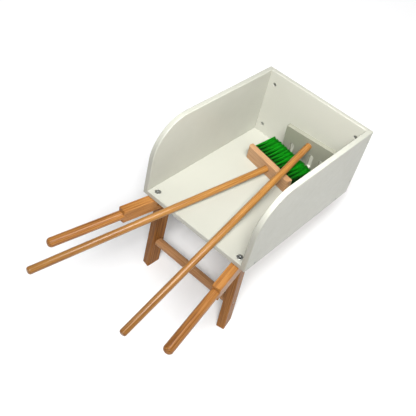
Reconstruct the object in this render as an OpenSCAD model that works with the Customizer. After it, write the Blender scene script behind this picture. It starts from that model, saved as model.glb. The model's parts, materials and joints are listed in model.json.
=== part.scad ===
// Child's barrow with a broom and a toothed rake lying in its tray.
// The tray is drawn level, with its front bottom edge through the origin, X towards the wheel,
// Y to the left and Z square to the floor board. on_ground() then tips it nose down so that the
// wheel and both feet stand on Z = 0, centred under the whole set.

/* [Tray] */
// length of the tray, end panel included
tray_l = 388; // [360:1:410]
// width over both side panels
tray_w = 290; // [280:1:310]
// height of the side and end panels, from under the floor
tray_h = 183; // [160:1:200]
// thickness of every tray board
board_t = 12; // [11:0.5:14]
// radius of the side panels' top front corners
corner_r = 90; // [60:1:100]
// nose-down tip of the tray when it stands
tilt = 16.48; // [14:0.1:18]

/* [Rails] */
// width of a rail
rail_w = 21; // [19:0.5:24]
// height of a rail
rail_h = 34; // [30:0.5:38]
// distance of a rail's centre line from the middle, at the tray's front edge
rail_y = 120.4; // [116:0.2:124]
// angle by which each rail closes in towards the wheel
rail_splay = 10.4; // [10:0.1:10.8]
// diameter of the turned handles
handle_d = 21; // [18:0.5:24]
// where a rail turns into its handle, measured back from the front edge
shoulder = 74; // [60:1:90]
// rounding of the square part where the handle starts
shoulder_r = 6; // [3:0.5:8]
// where a handle ends, measured back from the front edge
handle_end = 246; // [220:1:270]

/* [Legs] */
// length of a leg's section along the rail
leg_l = 32.6; // [28:0.2:36]
// thickness of a leg across the rail
leg_w = 20.5; // [18:0.5:22]
// position of a leg along the rail
leg_x = 38.6; // [34:0.2:44]
// foot centre below the underside of the floor board
leg_drop = 236.3; // [226:0.1:246]
// diameter of the round stretcher between the legs
stretcher_d = 21; // [18:0.5:22]
// stretcher below the underside of the floor board
stretcher_z = 157; // [120:1:180]

/* [Wheel] */
// axle position along the tray
axle_x = 484; // [480:1:490]
// wheel thickness
wheel_w = 20; // [18:0.5:20]
// depth of the rubber tyre
tyre_t = 11.6; // [8:0.2:14]
// axle diameter
axle_d = 8; // [6:0.5:8]

/* [Broom] */
// length of the broom's block
block_l = 138; // [134:1:150]
// height of the broom's block
block_h = 34.6; // [32:0.2:35]
// thickness of the block along the stick
block_t = 15; // [13:0.5:20]
// rounding of the block's back corners, seen from above
block_back_r = 7; // [1:0.5:8]
// free length of the bristles
bristle_l = 64; // [50:1:66]
// tufts along the block
tufts_y = 13; // [9:1:13]
// rows of tufts
tufts_z = 4; // [3:1:4]
// broom stick length
broom_l = 595; // [500:5:600]
// diameter of both sticks
stick_d = 16; // [14:0.5:16]

/* [Rake] */
// width of the rake's head
rake_w = 130; // [120:1:134]
// head above the stick's centre line
rake_up = 21.85; // [18:0.5:30]
// head below the stick's centre line
rake_down = 69.55; // [60:0.05:69.55]
// head thickness
rake_t = 11; // [8:0.5:11]
// width of each slot between the teeth
slot_w = 11; // [8:0.5:12]
// spacing of the slots
slot_pitch = 27.1; // [24:0.1:28]
// slot tops below the stick's centre line
slot_top = 22.6; // [17:0.1:30]
// rake stick length
rake_l = 630; // [550:5:635]

/* [Hidden] */
$fn = 64;
floor_w = tray_w - 2 * board_t;
panel_x = tray_l - board_t;
soft = 2;
rail_mid = -rail_h / 2;

// legs lean out and forward as they go down
lean_fwd = 1.432;
lean_out = 1.718;
leg_run = leg_drop - rail_h;
foot_u = leg_x + leg_run * tan(lean_fwd);
foot_v = leg_run * tan(lean_out);
foot_x = foot_u * cos(rail_splay) + foot_v * sin(rail_splay);

// height and centring of the whole set on the ground
lift = sin(tilt) * foot_x + cos(tilt) * leg_drop;
wheel_r = lift - sin(tilt) * axle_x + cos(tilt) * rail_mid;
function world_x(x, z) = cos(tilt) * x + sin(tilt) * z;

// broom and rake poses: where the stick meets the head, and the turn of each tool
broom_at = [256.85, 9.06, 29.65];
broom_turn = [0.25, -1.95, -10.46];
rake_at = [347.6, -31.5, 81.5];
rake_turn = [0.6, -9.83, 4.58];
stick_end_x = broom_at[0] - broom_l * cos(broom_turn[2]) * cos(broom_turn[1]);
stick_end_z = broom_at[2] + broom_l * sin(broom_turn[1]);
mid_x = (world_x(stick_end_x, stick_end_z) + world_x(axle_x, rail_mid) + wheel_r) / 2;

// tufts: spacing along and across the block, depth and radii of each, lean of each row
tuft_pitch_y = 10.2;
tuft_pitch_z = 8;
tuft_seat = 5.5;
tuft_hole_r = 2.6;
tuft_root_r = 2.1;
tuft_tip_r = 4.1;
row_fan = 1.4;

// easing of edges, and how deep each stick sits in its head
block_soft = 1;
stick_end_r = 2.5;
handle_end_r = 8;
broom_seat = 6;
rake_seat = 4;

// fasteners
gap = 0.1;
bolt_d = 5.9;
bolt_hole = 6.2;
bolt_head_d = 13.2;
bolt_head_h = 2.8;
bolt_sink = 3.6;
bolt_l = 32;
bolt_key = 4.6;
bolt_run = 26;
leg_bolt_l = 64;
leg_bolt_sink = 4.5;
nut_d = 9;
nut_l = 9;
rail_nut_l = 14;
nut_cover = 3;
nut_bore = board_t / 2 + nut_l / 2 + 0.2;
floor_bolt_u = [16.8, 366];
joint_d = 4.4;
joint_head_d = 8;
joint_head_h = 2.6;
joint_sink = 3.2;
joint_l = 34;
joint_key = 3.5;
nut_in = 17.5;
panel_bolt_z = [36, 152];
floor_bolt_x = [33, 338];
leg_nut_z = -62;
dowel_d = 8;
dowel_off = 10.5;
dowel_half = 15;
screw_d = 4;
screw_sink = 3;
stretcher_screw_l = 42;
rake_screw_l = 32;

// stretcher and axle seats, measured across the barrow
leg_mid_y = rail_y - leg_x * sin(rail_splay);
down = (stretcher_z - rail_h) / cos(lean_out);
leg_at_y = leg_mid_y + down * (sin(lean_out) * cos(rail_splay) - sin(lean_fwd) * sin(rail_splay));
stretcher_x = 42.4;
stretcher_half = leg_at_y - leg_w / 2 / cos(rail_splay) + 6;
leg_screw_y = leg_at_y + leg_w / 2 / cos(rail_splay) - 3.6;
rail_half_y = rail_w / 2 / cos(rail_splay);
rail_axle_y = rail_y - axle_x * tan(rail_splay);
seat_in_y = rail_axle_y - rail_half_y + 1.7;
seat_out_y = rail_axle_y + rail_half_y - 1.9;
seat_in_r = 7.6;
seat_out_r = 8.8;
bush_flange = 1.5;
bush_r = 6;
flange_r = 10;
spacer_r = 7;
washer_r = 8.4;
washer_t = 1.5;
nut_h = 6.5;
nut_across = 15;
axle_half = seat_out_y + washer_t + 7;

// shallow ring turned into each face of the wheel
hub_r = 22;
rim_w = 12;
recess = 3;

paint = [0.83, 0.83, 0.77];
oiled = [0.66, 0.36, 0.14];
beech = [0.82, 0.64, 0.46];
green = [0.05, 0.45, 0.08];
grey = [0.55, 0.56, 0.49];
steel = [0.62, 0.63, 0.64];
rubber = [0.08, 0.08, 0.08];
nylon = [0.86, 0.86, 0.84];

// ---- placing ----

module on_ground() {
    translate([-mid_x, 0, lift]) rotate([0, tilt, 0]) children();
}

module both_sides() {
    children();
    mirror([0, 1, 0]) children();
}

// left rail's own frame: X along the rail from the tray's front edge
module at_rail(u) {
    translate([0, rail_y, 0]) rotate([0, 0, -rail_splay]) translate([u, 0, 0]) children();
}

module along_x() {
    rotate([0, 90, 0]) children();
}

module along_y() {
    rotate([-90, 0, 0]) children();
}

module on_axle() {
    translate([axle_x, 0, rail_mid]) along_y() children();
}

module at_broom() {
    translate(broom_at) rotate(broom_turn) children();
}

module at_rake() {
    translate(rake_at) rotate(rake_turn) children();
}

// ---- shapes ----

// rectangle centred on the origin with rounded corners
module soft_rect(a, b, r) {
    square([a - 2 * r, b], center = true);
    square([a, b - 2 * r], center = true);
    for (i = [-1, 1])
        for (j = [-1, 1])
            translate([i * (a / 2 - r), j * (b / 2 - r)]) circle(r);
}

// 2-D outline drawn in X and Z, given thickness along Y
module slab_y(y0, y1) {
    translate([0, y1, 0]) rotate([90, 0, 0]) linear_extrude(y1 - y0) children();
}

// 2-D outline drawn in Y and Z, given length along X
module slab_x(x0, x1) {
    translate([x0, 0, 0]) rotate([90, 0, 90]) linear_extrude(x1 - x0) children();
}

// round bar from 0 to l along Z with a rounded far end
module round_end_bar(d, l, r) {
    rotate_extrude() {
        square([d / 2, l - r]);
        square([d / 2 - r, l]);
        intersection() {
            translate([d / 2 - r, l - r]) circle(r);
            translate([0, l - r]) square([d / 2, r]);
        }
    }
}

module tube(r_out, r_in, h) {
    difference() {
        cylinder(h = h, r = r_out);
        translate([0, 0, -1]) cylinder(h = h + 2, r = r_in);
    }
}

// socket-head bolt: head up from 0, shank down
module bolt(head_d, head_h, d, l, key) {
    difference() {
        union() {
            cylinder(h = head_h, d = head_d);
            translate([0, 0, -l]) cylinder(h = l + 0.5, d = d);
        }
        translate([0, 0, head_h - 1.8]) cylinder(h = 3, d = key, $fn = 6);
    }
}

// cross-drilled barrel nut centred on the origin, lying along Z, drilled along X
module barrel_nut(l, hole) {
    difference() {
        translate([0, 0, -l / 2]) cylinder(h = l, d = nut_d - 2 * gap);
        translate([-nut_d, 0, 0]) along_x() cylinder(h = 2 * nut_d, d = hole);
        translate([-nut_d, -0.6, l / 2 - 0.9]) cube([2 * nut_d, 1.2, 2]);
    }
}

// ---- tray ----

// side bolts of the left side, each drawn from the outer face inwards along -Y
module at_side_bolts() {
    for (z = panel_bolt_z)
        translate([tray_l - board_t / 2, tray_w / 2, z]) rotate([-90, 0, 0]) children();
    for (x = floor_bolt_x)
        translate([x, tray_w / 2, board_t / 2]) rotate([-90, 0, 0]) children();
}

module side_bolt_holes() {
    both_sides() at_side_bolts() {
        translate([0, 0, -joint_sink]) cylinder(h = joint_sink + 1, d = joint_head_d + 0.4);
        translate([0, 0, -board_t - 30]) cylinder(h = board_t + 30, d = joint_d + 0.3);
    }
}

module floor_bolt_holes() {
    both_sides() for (u = floor_bolt_u) at_rail(u) {
        translate([0, 0, board_t - bolt_sink]) cylinder(h = bolt_sink + 1, d = bolt_head_d + 1.4);
        translate([0, 0, -bolt_run]) cylinder(h = bolt_run + board_t, d = bolt_hole);
    }
}

module at_floor_nuts() {
    both_sides() for (x = floor_bolt_x)
        translate([x, tray_w / 2 - board_t - nut_in, 0]) children();
}

module at_panel_nuts() {
    both_sides() for (z = panel_bolt_z)
        translate([panel_x, tray_w / 2 - board_t - nut_in, z]) children();
}

module floor_board() {
    color(paint) on_ground() difference() {
        slab_y(-floor_w / 2, floor_w / 2)
            translate([panel_x / 2, board_t / 2]) soft_rect(panel_x, board_t, soft);
        floor_bolt_holes();
        side_bolt_holes();
        at_floor_nuts() translate([0, 0, -1]) cylinder(h = nut_bore + 1, d = nut_d);
    }
}

module end_panel() {
    color(paint) on_ground() difference() {
        slab_y(-floor_w / 2, floor_w / 2)
            translate([panel_x + board_t / 2, tray_h / 2]) soft_rect(board_t, tray_h, soft);
        side_bolt_holes();
        at_panel_nuts() translate([-1, 0, 0]) along_x() cylinder(h = nut_bore + 1, d = nut_d);
    }
}

module side_outline() {
    translate([corner_r, 0]) square([tray_l - corner_r, tray_h]);
    square([tray_l, tray_h - corner_r]);
    translate([corner_r, tray_h - corner_r]) circle(corner_r, $fn = 128);
}

module left_side() {
    color(paint) on_ground() difference() {
        slab_y(floor_w / 2, tray_w / 2) side_outline();
        side_bolt_holes();
    }
}

module right_side() {
    color(paint) on_ground() difference() {
        slab_y(-tray_w / 2, -floor_w / 2) side_outline();
        side_bolt_holes();
    }
}

// ---- rails, legs, stretcher ----

// side view of the square part, rounded about the axle
module rail_outline(u_end) {
    translate([-shoulder, -rail_h]) square([u_end + shoulder, rail_h]);
    translate([u_end, rail_mid]) circle(rail_h / 2);
}

// envelope that turns the corners of the square part round where the handle starts
module turned_shoulder() {
    reach = norm([rail_w, rail_h]) / 2 + 1;
    translate([-shoulder, 0, rail_mid]) along_x() rotate_extrude() {
        square([reach - shoulder_r, axle_x + 200]);
        translate([0, shoulder_r]) square([reach, axle_x + 200 - shoulder_r]);
        translate([reach - shoulder_r, shoulder_r]) circle(shoulder_r);
    }
}

module rail() {
    difference() {
        at_rail(0) difference() {
            union() {
                intersection() {
                    slab_y(-rail_w / 2, rail_w / 2) rail_outline(axle_x / cos(rail_splay));
                    slab_x(-shoulder - 1, tray_l + 200)
                        translate([0, rail_mid]) soft_rect(rail_w, rail_h, 2.5);
                    turned_shoulder();
                }
                translate([-shoulder + 1, 0, rail_mid]) rotate([0, -90, 0])
                    round_end_bar(handle_d, handle_end - shoulder + 1, handle_end_r);
            }
            for (u = floor_bolt_u) {
                translate([u, 0, -bolt_run]) cylinder(h = bolt_run + 14, d = bolt_hole);
                translate([u, -rail_w, rail_mid]) along_y()
                    cylinder(h = rail_w * 1.5 - nut_cover, d = nut_d);
            }
            translate([leg_x, 0, -rail_h - 1]) cylinder(h = rail_h + 2, d = bolt_hole);
            translate([leg_x, 0, -leg_bolt_sink]) cylinder(h = leg_bolt_sink + 1.5, d = bolt_head_d + 0.4);
            for (i = [-1, 1])
                translate([leg_x + i * dowel_off, 0, -rail_h - 1])
                    cylinder(h = dowel_half + 1.5, d = dowel_d + gap);
        }
        translate([axle_x, 0, rail_mid]) along_y() cylinder(h = rail_y, d = axle_d + 2 * gap);
        translate([axle_x, 0, rail_mid]) along_y() cylinder(h = seat_in_y, r = seat_in_r);
        translate([axle_x, seat_out_y, rail_mid]) along_y() cylinder(h = 30, r = seat_out_r);
    }
}

module left_rail() {
    color(oiled) on_ground() rail();
}

module right_rail() {
    color(oiled) on_ground() mirror([0, 1, 0]) rail();
}

module leg() {
    difference() {
        at_rail(leg_x) difference() {
            translate([0, 0, -rail_h]) rotate([lean_out, -lean_fwd, 0])
                translate([0, 0, -leg_run - 30]) linear_extrude(leg_run + 60)
                    soft_rect(leg_l, leg_w, 2);
            translate([-50, -50, -rail_h]) cube([100, 100, 100]);
            translate([0, 0, leg_nut_z - 10]) cylinder(h = 60, d = bolt_hole);
            translate([0, -leg_w, leg_nut_z]) along_y() cylinder(h = leg_w * 1.5 - nut_cover, d = nut_d);
            for (i = [-1, 1])
                translate([i * dowel_off, 0, -rail_h - dowel_half - 0.5])
                    cylinder(h = 40, d = dowel_d + gap);
        }
        translate([stretcher_x, 0, -stretcher_z]) along_y()
            cylinder(h = stretcher_half + gap, d = stretcher_d + 2 * gap);
        translate([stretcher_x, 0, -stretcher_z]) along_y() cylinder(h = 200, d = screw_d + 0.3);
        translate([stretcher_x, leg_screw_y, -stretcher_z]) along_y()
            cylinder(h = 20, d = joint_head_d + 0.4);
    }
}

module ground_cut() {
    difference() {
        children();
        translate([-500, -500, -300]) cube([1000, 1000, 300]);
    }
}

module left_leg() {
    color(oiled) ground_cut() on_ground() leg();
}

module right_leg() {
    color(oiled) ground_cut() on_ground() mirror([0, 1, 0]) leg();
}

module stretcher() {
    color(oiled) on_ground() difference() {
        translate([stretcher_x, -stretcher_half, -stretcher_z]) along_y()
            cylinder(h = 2 * stretcher_half, d = stretcher_d);
        both_sides() translate([stretcher_x, stretcher_half - 32, -stretcher_z]) along_y()
            cylinder(h = 40, d = screw_d + 0.2);
    }
}

// ---- fasteners of the barrow ----

module floor_bolts() {
    color(steel) on_ground() both_sides() for (u = floor_bolt_u)
        at_rail(u) translate([0, 0, board_t - bolt_sink])
            bolt(bolt_head_d, bolt_head_h, bolt_d, bolt_l, bolt_key);
}

module rail_barrel_nuts() {
    color(steel) on_ground() both_sides() for (u = floor_bolt_u)
        at_rail(u) translate([0, 0, rail_mid]) rotate([90, 0, 0]) rotate([0, 0, 90])
            barrel_nut(rail_nut_l, bolt_d + gap);
}

module side_bolts() {
    color(steel) on_ground() both_sides() at_side_bolts()
        translate([0, 0, -joint_sink]) bolt(joint_head_d, joint_head_h, joint_d, joint_l, joint_key);
}

module panel_barrel_nuts() {
    color(steel) on_ground() at_panel_nuts() translate([board_t / 2, 0, 0])
        rotate([0, -90, 0]) rotate([0, 0, 90]) barrel_nut(nut_l, joint_d + gap);
}

module floor_barrel_nuts() {
    color(steel) on_ground() at_floor_nuts() translate([0, 0, board_t / 2])
        rotate([180, 0, 90]) barrel_nut(nut_l, joint_d + gap);
}

module leg_bolts() {
    color(steel) on_ground() both_sides() at_rail(leg_x) translate([0, 0, -leg_bolt_sink])
        bolt(bolt_head_d, bolt_head_h, bolt_d, leg_bolt_l, bolt_key);
}

module leg_barrel_nuts() {
    color(steel) on_ground() both_sides() at_rail(leg_x) translate([0, 0, leg_nut_z])
        rotate([90, 0, 0]) rotate([0, 0, 90]) barrel_nut(rail_nut_l, bolt_d + gap);
}

module leg_dowels() {
    color(beech) on_ground() both_sides() for (i = [-1, 1])
        at_rail(leg_x + i * dowel_off) translate([0, 0, -rail_h - dowel_half])
            cylinder(h = 2 * dowel_half, d = dowel_d - gap);
}

module stretcher_screws() {
    color(steel) on_ground() both_sides() translate([stretcher_x, leg_screw_y, -stretcher_z])
        along_y() bolt(joint_head_d, joint_head_h, screw_d, stretcher_screw_l, joint_key);
}

// ---- axle and wheel ----

module axle() {
    color(steel) on_ground() on_axle() translate([0, 0, -axle_half])
        cylinder(h = 2 * axle_half, d = axle_d);
}

module axle_spacers() {
    color(nylon) on_ground() both_sides() on_axle()
        translate([0, 0, wheel_w / 2 + bush_flange + 0.5])
            tube(spacer_r, axle_d / 2 + 0.2, seat_in_y - wheel_w / 2 - bush_flange - 0.5);
}

module axle_washers() {
    color(steel) on_ground() both_sides() on_axle() translate([0, 0, seat_out_y])
        tube(washer_r, axle_d / 2 + gap, washer_t);
}

module axle_nuts() {
    color(steel) on_ground() both_sides() on_axle() translate([0, 0, seat_out_y + washer_t])
        difference() {
            union() {
                cylinder(h = nut_h, d = nut_across, $fn = 6);
                translate([0, 0, nut_h - 1]) intersection() {
                    sphere(6.4);
                    cylinder(h = 8, r = 8);
                }
            }
            translate([0, 0, -1]) cylinder(h = 8.4, d = axle_d + gap);
        }
}

module wheel_disc() {
    color(oiled) on_ground() on_axle() difference() {
        translate([0, 0, -wheel_w / 2]) cylinder(h = wheel_w, r = wheel_r - tyre_t, $fn = 128);
        translate([0, 0, -wheel_w]) cylinder(h = 2 * wheel_w, r = bush_r + 0.05);
        for (z = [wheel_w / 2 - recess, -wheel_w / 2 - 1])
            translate([0, 0, z]) tube(wheel_r - tyre_t - rim_w, hub_r, recess + 1);
    }
}

module wheel_bushes() {
    color(nylon) on_ground() both_sides() on_axle() {
        translate([0, 0, 1]) tube(bush_r, axle_d / 2 + 0.05, wheel_w / 2 - 1);
        translate([0, 0, wheel_w / 2]) tube(flange_r, axle_d / 2 + 0.05, bush_flange);
    }
}

module tyre() {
    color(rubber) on_ground() on_axle() rotate_extrude($fn = 128) {
        translate([wheel_r - tyre_t / 2 + 0.05, 0]) soft_rect(tyre_t - 0.1, wheel_w + 2, 3.5);
    }
}

// ---- broom ----

// the block from above, its front corners only eased
module block_plan() {
    end = block_l / 2;
    hull() for (side = [-1, 1]) {
        translate([block_t - block_soft, side * (end - block_soft)]) circle(r = block_soft);
        translate([block_back_r, side * (end - block_back_r)]) circle(r = block_back_r);
    }
}

module broom_block() {
    color(beech) on_ground() at_broom() difference() {
        intersection() {
            translate([block_t / 2, 0, 0]) slab_x(-block_t / 2, block_t / 2)
                soft_rect(block_l, block_h, block_soft);
            translate([0, 0, -block_h]) linear_extrude(2 * block_h) block_plan();
            slab_y(-block_l, block_l) translate([block_t / 2, 0]) soft_rect(block_t, block_h, block_soft);
        }
        translate([-1, 0, 0]) along_x() cylinder(h = broom_seat + 1, d = stick_d + 2 * gap);
        at_tufts() translate([-tuft_seat - 0.5, 0, 0]) along_x()
            cylinder(h = tuft_seat + 2.5, r = tuft_hole_r, $fn = 24);
    }
}

// each tuft's root on the block's face; rows lean apart by fan degrees a row
module at_tufts(fan = 0) {
    for (i = [0 : tufts_y - 1])
        for (j = [0 : tufts_z - 1]) {
            row = j - (tufts_z - 1) / 2;
            translate([block_t, (i - (tufts_y - 1) / 2) * tuft_pitch_y, row * tuft_pitch_z])
                rotate([0, -row * fan, 0]) children();
        }
}

module broom_bristles() {
    color(green) on_ground() at_broom() at_tufts(row_fan) translate([-tuft_seat, 0, 0]) along_x()
        cylinder(h = bristle_l + tuft_seat, r1 = tuft_root_r, r2 = tuft_tip_r, $fn = 24);
}

module broom_stick() {
    color(beech) on_ground() at_broom() translate([broom_seat - gap, 0, 0]) rotate([0, -90, 0])
        round_end_bar(stick_d, broom_l + broom_seat - gap, stick_end_r);
}

// ---- rake ----

module rake_outline() {
    difference() {
        translate([0, (rake_up - rake_down) / 2]) soft_rect(rake_w, rake_up + rake_down, 2);
        for (i = [-1.5, -0.5, 0.5, 1.5]) {
            translate([i * slot_pitch, -slot_top - slot_w / 2]) circle(d = slot_w);
            translate([i * slot_pitch - slot_w / 2, -rake_down - 5])
                square([slot_w, rake_down + 5 - slot_top - slot_w / 2]);
        }
    }
}

module rake_head() {
    color(grey) on_ground() at_rake() difference() {
        slab_x(0, rake_t) rake_outline();
        translate([-1, 0, 0]) along_x() cylinder(h = rake_seat + 1, d = stick_d + 2 * gap);
        translate([-1, 0, 0]) along_x() cylinder(h = 30, d = screw_d + 0.3);
        translate([rake_t - screw_sink, 0, 0]) along_x() cylinder(h = 5, d = joint_head_d + 0.4);
    }
}

module rake_stick() {
    color(beech) on_ground() at_rake() difference() {
        translate([rake_seat - gap, 0, 0]) rotate([0, -90, 0])
            round_end_bar(stick_d, rake_l + rake_seat - gap, stick_end_r);
        translate([-30, 0, 0]) along_x() cylinder(h = 40, d = screw_d + 0.2);
    }
}

module rake_screw() {
    color(steel) on_ground() at_rake() translate([rake_t - screw_sink, 0, 0]) along_x()
        bolt(joint_head_d, joint_head_h, screw_d, rake_screw_l, joint_key);
}

floor_board();
left_side();
right_side();
end_panel();
left_rail();
right_rail();
left_leg();
right_leg();
stretcher();
floor_bolts();
rail_barrel_nuts();
side_bolts();
panel_barrel_nuts();
floor_barrel_nuts();
leg_bolts();
leg_barrel_nuts();
leg_dowels();
stretcher_screws();
axle();
axle_spacers();
axle_washers();
axle_nuts();
wheel_disc();
wheel_bushes();
tyre();
broom_block();
broom_bristles();
broom_stick();
rake_head();
rake_stick();
rake_screw();
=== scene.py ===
"""Child's barrow with a broom and a toothed rake lying in its tray: the looks around the CAD frame.

Pieces are drawn in millimetres in small local frames (tray, rail, leg, broom, rake) and placed by
matrices worked out from the wheel's axle in the frame, so they land where the CAD has them.
"""

import json
import math
import random

import bmesh
import bpy
from mathutils import Matrix, Vector


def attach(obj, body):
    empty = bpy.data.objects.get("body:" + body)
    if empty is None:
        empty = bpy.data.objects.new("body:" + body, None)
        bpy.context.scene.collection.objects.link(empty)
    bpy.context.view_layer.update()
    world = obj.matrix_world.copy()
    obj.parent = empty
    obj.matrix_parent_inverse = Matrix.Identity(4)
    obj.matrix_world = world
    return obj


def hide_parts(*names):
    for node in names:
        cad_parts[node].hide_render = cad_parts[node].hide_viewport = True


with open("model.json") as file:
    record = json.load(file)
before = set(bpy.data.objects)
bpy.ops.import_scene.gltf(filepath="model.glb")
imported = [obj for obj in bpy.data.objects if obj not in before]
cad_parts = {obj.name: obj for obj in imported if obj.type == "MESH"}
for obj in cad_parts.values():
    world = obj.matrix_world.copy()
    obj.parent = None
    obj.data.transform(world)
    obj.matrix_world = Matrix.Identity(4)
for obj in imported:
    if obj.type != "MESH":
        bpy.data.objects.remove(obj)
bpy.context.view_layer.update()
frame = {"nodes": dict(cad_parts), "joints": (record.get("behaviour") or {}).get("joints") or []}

MM = 0.001

# ---- sizes in millimetres: the CAD part's, with edges and small gaps of the looks' own ----

# tray: its nose-down tip, outside sizes and boards
TILT = math.radians(16.48)
TRAY_L, TRAY_W, TRAY_H, BOARD = 388, 290, 183, 12
CORNER_R = 90
PANEL_X = TRAY_L - BOARD
INNER_W = TRAY_W - 2 * BOARD
SIDE_CORNER_R, SIDE_EDGE_R, BOARD_END_R = 2.5, 1.9, 0.4

# rails, which close in towards the wheel, and the handles turned at their ends
RAIL_W, RAIL_H, RAIL_Y = 21, 34, 120.4
RAIL_MID = -RAIL_H / 2
SPLAY = math.radians(10.4)
HANDLE_D, SHOULDER, SHOULDER_R, HANDLE_END = 21, 74, 6, 246
HANDLE_END_R, HANDLE_ROOT = 8, 8
RAIL_EDGE_R = 2.4

# legs and the bar between them
LEG_L, LEG_W, LEG_X = 32.6, 20.5, 38.6
LEAN_FWD, LEAN_OUT = math.radians(1.432), math.radians(1.718)
LEG_EDGE_R, FOOT_EDGE_R = 2.2, 1.6
STRETCHER_D, STRETCHER_X, STRETCHER_Z, STRETCHER_SEAT = 21, 42.4, -157, 6

# wheel and axle, and the rails' seats for the spacers and washers
AXLE_X, AXLE_D = 484, 8
SEAT_IN_D, SEAT_IN, SEAT_OUT_D, SEAT_OUT = 15.2, 1.7, 17.6, 1.9
WHEEL_W, TYRE_T, TYRE_OVERLAP = 20, 11.6, 1
HUB_BORE_R, HUB_R, RIM_W, RECESS, WHEEL_EASE = 6.05, 22, 13.5, 3, 1.5
BORE_CHAMFER, RIM_CHAMFER = 0.6, 1.2
TYRE_IN_R, TYRE_OUT_R = 3, 4.5
GROOVES_Z, GROOVE_DEPTH, GROOVE_TOP, GROOVE_BOTTOM = (-3.6, 0, 3.6), 1.2, 1.5, 0.8

# broom
BLOCK_L, BLOCK_H, BLOCK_T, BLOCK_BACK_R = 138, 34.6, 15, 7
BRISTLE_L, TUFTS_Y, TUFTS_Z = 64, 13, 4
GOLDEN_ANGLE = 2.39996
TUFT_PITCH_Y, TUFT_PITCH_Z, ROW_FAN = 10.2, 8, math.radians(1.4)
TUFT_HOLE_R, TUFT_HOLE_DEPTH = 2.6, 6
BLOCK_EDGE_R = 0.9
BROOM_L, BROOM_SEAT = 595, 5.9
BROOM_AT, BROOM_TURN = (256.85, 9.06, 29.65), (0.25, -1.95, -10.46)

# rake
RAKE_W, RAKE_UP, RAKE_DOWN, RAKE_T = 130, 21.85, 69.55, 11
SLOT_W, SLOT_PITCH, SLOT_TOP = 11, 27.1, 22.6
RAKE_EDGE_R = 1.3
RAKE_L, RAKE_SEAT = 630, 3.9
RAKE_AT, RAKE_TURN = (347.6, -31.5, 81.5), (0.6, -9.83, 4.58)

# both sticks
STICK_D, STICK_END_R = 16, 4.6

# bolts through the floor into the rails, bolts across the joints, screws and barrel nuts
FLOOR_BOLT_U = (16.8, 366)
BOLT_D, BOLT_L, BOLT_KEY, BOLT_HOLE_D, BOLT_RUN = 5.9, 32, 4.6, 6.2, 26
BOLT_HEAD_D, BOLT_HEAD_H, BOLT_SINK = 13.2, 2.8, 3.6
PANEL_BOLT_Z = (36, 152)
FLOOR_BOLT_X = (33, 338)
JOINT_D, JOINT_L, JOINT_KEY, JOINT_HOLE_D, JOINT_RUN = 4.4, 34, 3.5, 4.7, 30
JOINT_HEAD_D, JOINT_HEAD_H, JOINT_SINK = 8, 2.6, 3.2
SCREW_HOLE_D, SCREW_SINK, LEG_SCREW_SINK = 4.3, 3, 3.6
NUT_D, NUT_IN, NUT_COVER, NUT_BORE = 9, 17.5, 3, 10.7
LEG_NUT_Z = -62

# how much wider than its piece each hole is cut
GAP = 0.2
BOLT_HEAD_GAP, JOINT_HEAD_GAP, BROOM_GAP, RAKE_HEAD_GAP = 1.6, 0.6, 0.9, 0.5

# how far a cutter starts outside the wood, how far below a bolt's head or a nut its hole starts, and
# cutters long enough to run right out of the wood
CLEAR = 1
FLOOR_BORE, LEG_BORE = 20, 10
OUTWARDS, UP_LEG, THROUGH_LEG, BEYOND_RAIL = 30, 60, 200, 620

# ---- view and studio ----

# The camera in the tray's frame, in millimetres, and the way it looks.
CAMERA_AT, CAMERA_LOOK = (-847.43, -530.61, 1028.08), (0.62148, 0.37154, -0.68973)
FOCAL_MM, SENSOR_MM = 59.58, 36
BACKDROP_R, BACKDROP_SINK = 4000, 50
WHITE, SUNLIGHT, COOL = (1.0, 1.0, 1.0), (1.0, 0.995, 0.985), (0.88, 0.95, 1.08)

# ---- placing ----


def move(x, y, z):
    return Matrix.Translation(Vector((x, y, z)) * MM)


def turn(degrees, axis):
    return Matrix.Rotation(math.radians(degrees), 4, axis)


def joint(name):
    return next(j for j in frame["joints"] if j["name"] == name)


def laid(at, turns):
    """A loose tool's place in the tray, turned about X, then Y, then Z."""
    x, y, z = turns
    return TRAY @ move(*at) @ turn(z, "Z") @ turn(y, "Y") @ turn(x, "X")


AXLE_AT = Vector(joint("wheel_spin")["pos_m"])
WHEEL_R = AXLE_AT.z / MM
TIP = Matrix.Rotation(TILT, 4, "Y")
TRAY = Matrix.Translation(AXLE_AT - TIP @ (Vector((AXLE_X, 0, RAIL_MID)) * MM)) @ TIP
RAIL = {
    side: TRAY @ move(0, side * RAIL_Y, 0) @ Matrix.Rotation(-side * SPLAY, 4, "Z")
    for side in (1, -1)
}
SIDE_NAME = {1: "left", -1: "right"}
BROOM, RAKE = laid(BROOM_AT, BROOM_TURN), laid(RAKE_AT, RAKE_TURN)

# ---- mesh helpers ----


def fillet(corners, steps=6):
    """A closed outline from (x, y, radius) corners, given anticlockwise."""
    points = []
    for i, (x, y, r) in enumerate(corners):
        before, after = corners[i - 1], corners[(i + 1) % len(corners)]
        here = Vector((x, y))
        a = (Vector(before[:2]) - here).normalized()
        b = (Vector(after[:2]) - here).normalized()
        half = a.angle(b) / 2
        reach = r / math.tan(half)
        centre = here + (a + b).normalized() * r / math.sin(half)
        start, end = here + a * reach - centre, here + b * reach - centre
        a0 = math.atan2(start.y, start.x)
        sweep = math.atan2(end.y, end.x) - a0
        sweep = (sweep + math.pi) % (2 * math.pi) - math.pi
        count = max(steps, int(r / 2))
        for k in range(count + 1):
            t = a0 + sweep * k / count
            points.append(centre + Vector((math.cos(t), math.sin(t))) * r)
    return points


def soft_rect(w, h, r):
    return fillet([(-w / 2, -h / 2, r), (w / 2, -h / 2, r), (w / 2, h / 2, r), (-w / 2, h / 2, r)])


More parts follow.
